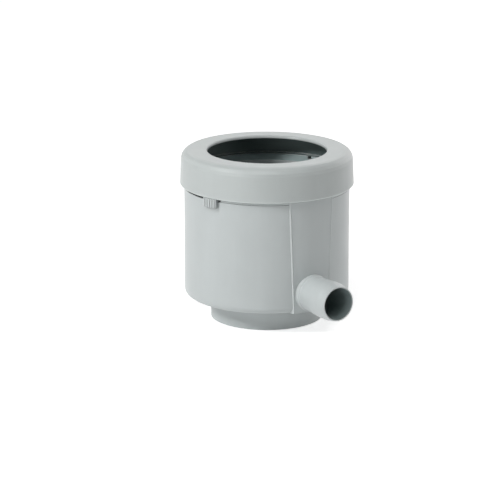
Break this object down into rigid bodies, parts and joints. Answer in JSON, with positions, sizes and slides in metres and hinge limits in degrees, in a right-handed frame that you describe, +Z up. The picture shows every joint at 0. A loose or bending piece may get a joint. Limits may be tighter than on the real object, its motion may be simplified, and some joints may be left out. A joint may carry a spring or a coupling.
{
  "type": "rainwater diverter",
  "caption": "Round downpipe rainwater diverter: drum with spigot, side hose outlet, ring cover, inner strainer ring and a turning shutter ring with a ribbed thumb tab.",
  "frame": {"origin": "centre of the spigot's lower rim, on the upright axis", "axes": "+Z up along the downpipe's axis, -Y along the hose outlet"},
  "size_m": [0.15, 0.1856, 0.148],
  "materials": {
    "housing_plastic": "satin moulded light grey",
    "cover_plastic": "satin moulded light grey",
    "strainer_plastic": "satin moulded dark grey",
    "shutter_plastic": "satin moulded light grey"
  },
  "bodies": {
    "housing": {"lower_housing": "housing_plastic", "cover_ring": "cover_plastic", "strainer_ring": "strainer_plastic"},
    "shutter": {"shutter_ring": "shutter_plastic"}
  },
  "joints": [
    {"name": "shutter_turn", "type": "hinge", "parent": "housing", "child": "shutter", "pos_m": [0, 0, 0.11], "axis": [0, 0, 1], "range_deg": [-34, 2]}
  ]
}
